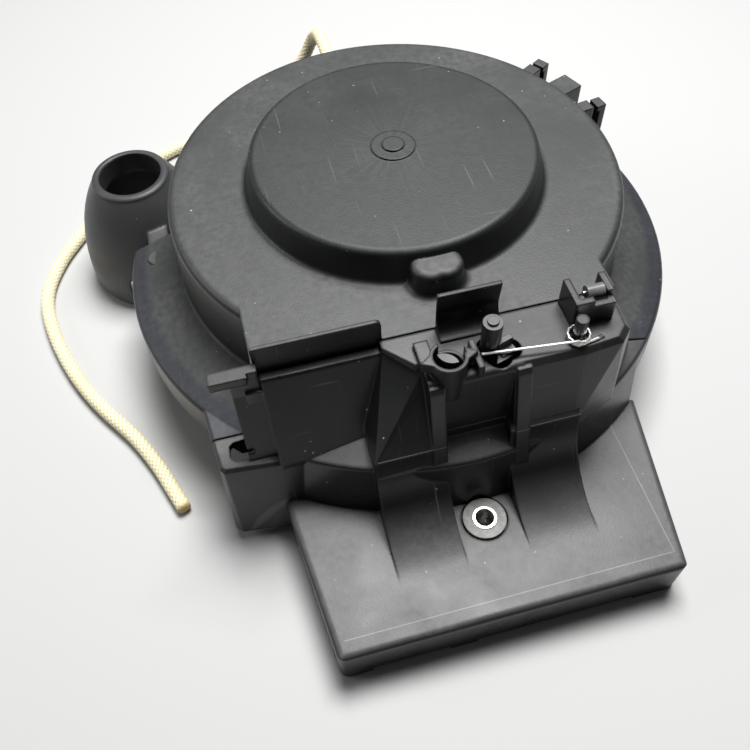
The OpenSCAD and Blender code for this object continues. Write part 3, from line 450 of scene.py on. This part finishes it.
# ---------------------------------------------------------------- bell, clip and lever
# Satin polyamide: the bell-shaped guide beside the flange, the leaf in the cable cup, the lever, and inside
# the drum the reel and the drive plate. Their moulds are smoother than the case's, so they shine more evenly.
satin_skin = moulded(
    "satin_polyamide", wall=(0.040, 0.0405, 0.042), top=(0.040, 0.0405, 0.042),
    cloud_colour=(0.050, 0.050, 0.051), wall_rough=0.42, top_rough=0.42,
    grain=2300.0, cloud=55.0, dust=0.45, bump=0.2, edge=0.0022,
)
finish_node("rope_guide", satin_skin)
small_skin = moulded(
    "small_black_parts", wall=(0.017, 0.0175, 0.019), top=(0.034, 0.034, 0.035),
    cloud_colour=(0.045, 0.045, 0.045), wall_rough=0.32, top_rough=0.42,
    grain=2300.0, cloud=80.0, dust=0.2, bump=0.2, edge=0.0003,
)
for name in ("cable_clip", "lockout_lever", "drive_plate", "rope_reel"):
    finish_node(name, small_skin)

# ---------------------------------------------------------------- steel
# Turned pins, screws, collars and pressed parts of zinc-plated steel, springs of bright wire and blued strip.
# All carry fine drawing marks, dull patches and small pits. Screws and pins sit in bores of the mouldings.


def build_drawn_steel():
    """Fine lines, dull patches and tiny pits of bare or plated steel."""
    group, given, wanted = group_of(
        "drawn_steel", [("Line Scale", "NodeSocketFloat", 2600.0)],
        [("Fine", "NodeSocketFloat"), ("Dull", "NodeSocketFloat"), ("Pits", "NodeSocketFloat")],
    )
    place = group.nodes.new("ShaderNodeTexCoord")
    fine = group.nodes.new("ShaderNodeTexNoise")
    fine.inputs["Detail"].default_value = 2
    group.links.new(place.outputs["Object"], fine.inputs["Vector"])
    group.links.new(given.outputs["Line Scale"], fine.inputs["Scale"])
    group.links.new(fine.outputs["Fac"], wanted.inputs["Fine"])
    dull = noise(group, place.outputs["Object"], 260, 4)
    group.links.new(spread(group, dull, 0.4, 0.65), wanted.inputs["Dull"])
    pits = noise(group, place.outputs["Object"], 1900, 1)
    group.links.new(spread(group, pits, 0.68, 0.76), wanted.inputs["Pits"])
    return group


drawn_steel = build_drawn_steel()


def steel(name, bright, dark, low, high, edge=0.0002):
    """Metal with dull patches and pits between two roughness values."""
    material, tree, shader = new_material(name)
    marks = tree.nodes.new("ShaderNodeGroup")
    marks.node_tree = drawn_steel
    base = colour_blend(tree, marks.outputs["Dull"], bright, dark)
    pitted = colour_blend(tree, marks.outputs["Pits"], base, tuple(c * 0.35 for c in dark))
    tree.links.new(pitted, shader.inputs["Base Color"])
    shader.inputs["Metallic"].default_value = 1.0
    tree.links.new(spread(tree, marks.outputs["Dull"], 0, 1, to=(low, high)), shader.inputs["Roughness"])
    raise_surface(tree, shader, marks.outputs["Fine"], strength=0.15, distance=0.0001, edge=edge)
    return material


plated = steel("zinc_plated_steel", (0.70, 0.70, 0.69), (0.50, 0.49, 0.46), 0.22, 0.42)
wire = steel("spring_wire", (0.88, 0.88, 0.86), (0.72, 0.72, 0.69), 0.34, 0.46, edge=0.0001)
strip = steel("blued_spring_strip", (0.22, 0.24, 0.30), (0.14, 0.15, 0.19), 0.25, 0.4)
for name in (
    "bracket_screws", "guide_screw", "cover_screws", "roller_pin", "lever_pin", "pawl_pins", "rear_collars",
    "mount_collar", "rope_eyelet", "spring_cover", "friction_ring", "pawl_left", "pawl_right", "reel_bush",
):
    finish_node(name, plated)
finish_node("return_spring", wire)
finish_node("recoil_spring", strip)

# ---------------------------------------------------------------- centre screw
# The screw that carries the reel comes through the chamber top, where its end sits in a sunk ring.
# Both are blackened steel with patches worn a little brighter.
centre_worn, centre_black = (0.17, 0.17, 0.17), (0.07, 0.07, 0.07)
centre_steel = steel("blackened_centre_steel", centre_worn, centre_black, 0.30, 0.48, edge=0.0004)
for name in ("centre_screw", "centre_washer"):
    finish_node(name, centre_steel)

# ---------------------------------------------------------------- mounting bush
# A light grey rubber grommet, pressed into the shelf, round a bright steel spacer tube for the engine's bolt.
# The rubber is matt, with a faint cloudiness from the mould.


def clouded(tree, place, scale, detail, low, high):
    """A colour that drifts between two greys in soft clouds."""
    return colour_blend(tree, spread(tree, noise(tree, place, scale, detail), 0.4, 0.65), low, high)


rubber, rubber_tree, rubber_shader = new_material("grey_bush_rubber")
rubber_place = rubber_tree.nodes.new("ShaderNodeTexCoord").outputs["Object"]
rubber_colour = clouded(rubber_tree, rubber_place, 700, 4, (0.215, 0.215, 0.205), (0.30, 0.30, 0.285))
rubber_tree.links.new(rubber_colour, rubber_shader.inputs["Base Color"])
rubber_shader.inputs["Roughness"].default_value = 0.6
rubber_fine = noise(rubber_tree, rubber_place, 3000, 2)
raise_surface(rubber_tree, rubber_shader, rubber_fine, strength=0.25, distance=0.0001, edge=0.0006)
finish_node("mount_grommet", rubber)

# ---------------------------------------------------------------- cable roller
# A mid-grey acetal roller in the corner clip, smooth and slightly waxy, turning on a steel pin.
# It carries the cable past the corner of the tower.
acetal, acetal_tree, acetal_shader = new_material("grey_acetal")
acetal_place = acetal_tree.nodes.new("ShaderNodeTexCoord").outputs["Object"]
acetal_colour = clouded(acetal_tree, acetal_place, 500, 3, (0.085, 0.085, 0.085), (0.125, 0.125, 0.125))
acetal_tree.links.new(acetal_colour, acetal_shader.inputs["Base Color"])
acetal_shader.inputs["Roughness"].default_value = 0.38
finish_node("guide_roller", acetal)

# ---------------------------------------------------------------- rope inside the drum
# The same cream braid, where it leaves the reel for the exit, lies wound in the reel's groove and is knotted
# behind it. The knot holds the rope's inner end in a pocket of the reel.
wound, wound_tree, wound_shader = new_material("wound_braid")
wound_place = wound_tree.nodes.new("ShaderNodeTexCoord")
cells = wound_tree.nodes.new("ShaderNodeTexVoronoi")
cells.inputs["Scale"].default_value = 950
wound_tree.links.new(wound_place.outputs["Object"], cells.inputs["Vector"])
# painted shade: the cells' rims, the hollows between the wound strands, take the darker valley colour
wound_mask = spread(wound_tree, cells.outputs["Distance"], 0.75, 0.35)
wound_colour = colour_blend(wound_tree, wound_mask, cord_valley_shade, cord_crest)
wound_tree.links.new(wound_colour, wound_shader.inputs["Base Color"])
wound_shader.inputs["Roughness"].default_value = 0.65
raise_surface(wound_tree, wound_shader, cells.outputs["Distance"], strength=0.6, distance=0.0004, sunk=True)
for name in ("rope_lead", "rope_winding", "rope_knot"):
    finish_node(name, wound)

# ---------------------------------------------------------------- floor and lights
# A plain pale floor just under the part, one wide soft light overhead, a little behind and to the right,
# and a weak one from the left to open the shadows.
floor_z, floor_reach = -0.0002, 3
floor_mesh = bpy.data.meshes.new("floor")
corners = [(x * floor_reach, y * floor_reach, floor_z) for x, y in ((-1, -1), (1, -1), (1, 1), (-1, 1))]
floor_mesh.from_pydata(corners, [], [(0, 1, 2, 3)])
floor = bpy.data.objects.new("floor", floor_mesh)
scene.collection.objects.link(floor)
paper, paper_tree, paper_shader = new_material("pale_floor")
paper_shader.inputs["Base Color"].default_value = (0.44, 0.44, 0.435, 1)
paper_shader.inputs["Roughness"].default_value = 0.75
floor_mesh.materials.append(paper)


def soft_light(name, place, target, size, watts):
    """A rectangular area light at a place, aimed at a point."""
    lamp = bpy.data.lights.new(name, "AREA")
    lamp.shape = "RECTANGLE"
    lamp.size, lamp.size_y = size
    lamp.energy = watts
    holder = bpy.data.objects.new(name, lamp)
    holder.location = place
    holder.rotation_euler = (Vector(target) - Vector(place)).to_track_quat("-Z", "Y").to_euler()
    scene.collection.objects.link(holder)


soft_light("overhead_softbox", (0.13, 0.20, 0.90), (0, -0.03, 0), (0.46, 0.38), 18.5)
soft_light("left_fill", (-0.9, 0.25, 0.50), (0, 0, 0), (0.5, 0.4), 2.2)

world = bpy.data.worlds.new("studio")
world.use_nodes = True
sky = world.node_tree.nodes["Background"]
sky.inputs["Color"].default_value = (0.82, 0.85, 0.9, 1)
sky.inputs["Strength"].default_value = 0.08
scene.world = world
